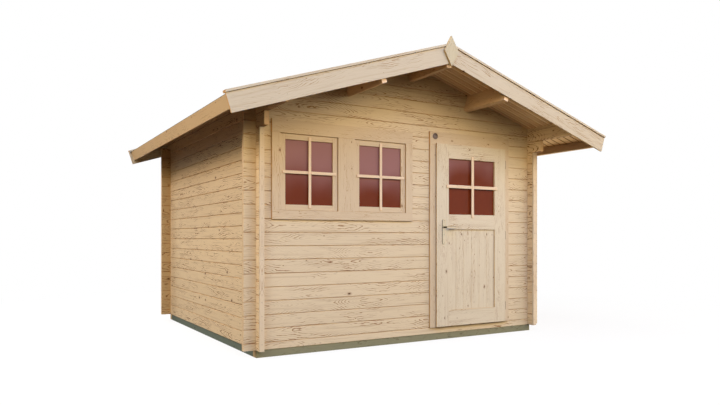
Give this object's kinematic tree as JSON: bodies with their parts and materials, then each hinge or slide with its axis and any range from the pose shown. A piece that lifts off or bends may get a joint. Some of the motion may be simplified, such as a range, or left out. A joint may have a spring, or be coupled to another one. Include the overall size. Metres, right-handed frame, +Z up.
{
  "type": "garden house",
  "caption": "Small garden house of notched spruce logs with a low gable roof, a half-glazed door that swings outward, and a pair of casement windows.",
  "frame": {"origin": "centre of the plan over the roof, at ground level under the foundation beams", "axes": "+X to the right when facing the door, +Y from the front wall to the rear wall, +Z up"},
  "size_m": [4.0128, 3.655, 2.7287],
  "materials": {
    "spruce_logs": "planed, untreated spruce logs with small knots",
    "spruce_trim": "planed, untreated pale spruce trim",
    "spruce_boards": "planed tongue and groove spruce boards",
    "spruce_door": "planed, untreated pale spruce joinery",
    "impregnated_timber": "pressure-impregnated, green-grey",
    "roofing_felt": "mineral-surfaced bitumen felt",
    "window_glass": "clear float glass",
    "handle_metal": "satin anodised",
    "hinge_steel": "zinc-plated",
    "round_plate_metal": "matt grey-brown"
  },
  "bodies": {
    "house": {"cross_beams": "impregnated_timber", "side_beams": "impregnated_timber", "floor_joists": "impregnated_timber", "floor_boards": "spruce_boards", "front_sill_log": "spruce_logs", "front_wall_left": "spruce_logs", "front_wall_right": "spruce_logs", "front_gable": "spruce_logs", "rear_wall": "spruce_logs", "rear_gable": "spruce_logs", "left_wall": "spruce_logs", "right_wall": "spruce_logs", "step_logs": "spruce_logs", "left_eave_log": "spruce_logs", "right_eave_log": "spruce_logs", "corner_battens": "spruce_trim", "ridge_purlin": "spruce_logs", "left_purlin": "spruce_logs", "right_purlin": "spruce_logs", "left_roof_boards": "spruce_boards", "right_roof_boards": "spruce_boards", "left_roof_felt": "roofing_felt", "right_roof_felt": "roofing_felt", "left_bargeboards": "spruce_trim", "right_bargeboards": "spruce_trim", "left_cover_strips": "spruce_trim", "right_cover_strips": "spruce_trim", "eave_fascias": "spruce_trim", "finials": "spruce_trim", "window_trim": "spruce_trim", "window_frame": "spruce_trim", "window_inner_trim": "spruce_trim", "left_casement": "spruce_trim", "right_casement": "spruce_trim", "window_glass": "window_glass", "door_trim": "spruce_trim", "door_frame": "spruce_trim", "door_inner_trim": "spruce_trim", "hinge_pins": "hinge_steel", "round_plate": "round_plate_metal"},
    "door": {"door_leaf": "spruce_door", "door_glass": "window_glass", "handle_plates": "handle_metal", "hinge_barrels": "hinge_steel"},
    "lever": {"door_lever": "handle_metal"}
  },
  "joints": [
    {"name": "door_swing", "type": "hinge", "parent": "house", "child": "door", "pos_m": [1.1675, -1.2435, 1.014], "axis": [0, 0, 1], "range_deg": [0, 110]},
    {"name": "lever_turn", "type": "hinge", "parent": "door", "child": "lever", "pos_m": [0.3625, -1.2555, 1.09], "axis": [0, 1, 0], "range_deg": [0, 38], "stiffness_Nm_per_rad": 1.2, "springref_deg": -14.32}
  ]
}
